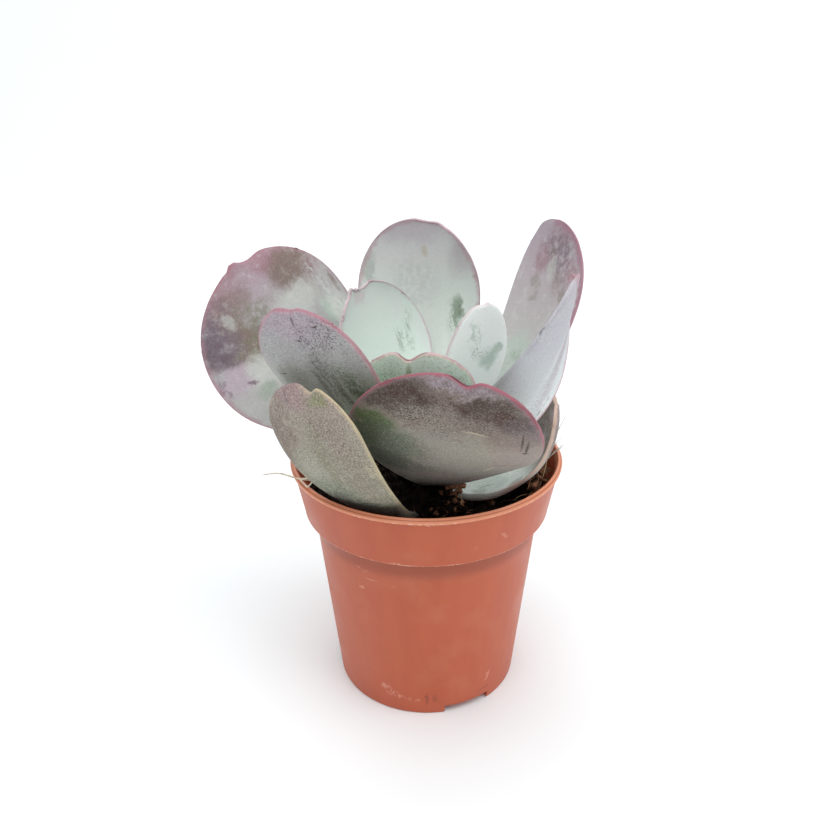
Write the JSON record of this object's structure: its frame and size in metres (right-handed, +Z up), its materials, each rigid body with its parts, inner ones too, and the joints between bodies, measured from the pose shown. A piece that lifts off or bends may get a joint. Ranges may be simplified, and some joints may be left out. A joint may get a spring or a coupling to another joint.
{
  "type": "potted cotyledon orbiculata",
  "caption": "Young paddle-leaved succulent, a rosette of thick spoon leaves with notched tips on a short stem, in a small round plastic nursery pot filled with soil.",
  "frame": {"origin": "middle of the pot's underside, on its flat centre pad", "axes": "+Z up along the pot's axis, -Y towards the front of the plant, +X to its right seen from the front"},
  "size_m": [0.0729, 0.0652, 0.096],
  "materials": {
    "terracotta_plastic": "satin",
    "peat": "matte",
    "stem": "matte",
    "leaf": "matte"
  },
  "bodies": {
    "root": {"pot": "terracotta_plastic", "soil": "peat", "stem": "stem", "leaf_left_big": "leaf", "leaf_back_center": "leaf", "leaf_back_right": "leaf", "leaf_right_folded": "leaf", "leaf_left_mid": "leaf", "leaf_front_left": "leaf", "leaf_front_big": "leaf", "leaf_right_low": "leaf", "leaf_inner_left": "leaf", "leaf_inner_right": "leaf", "leaf_inner_front": "leaf", "leaf_inner_back": "leaf", "leaf_bud_left": "leaf", "leaf_bud_right": "leaf"}
  },
  "joints": []
}
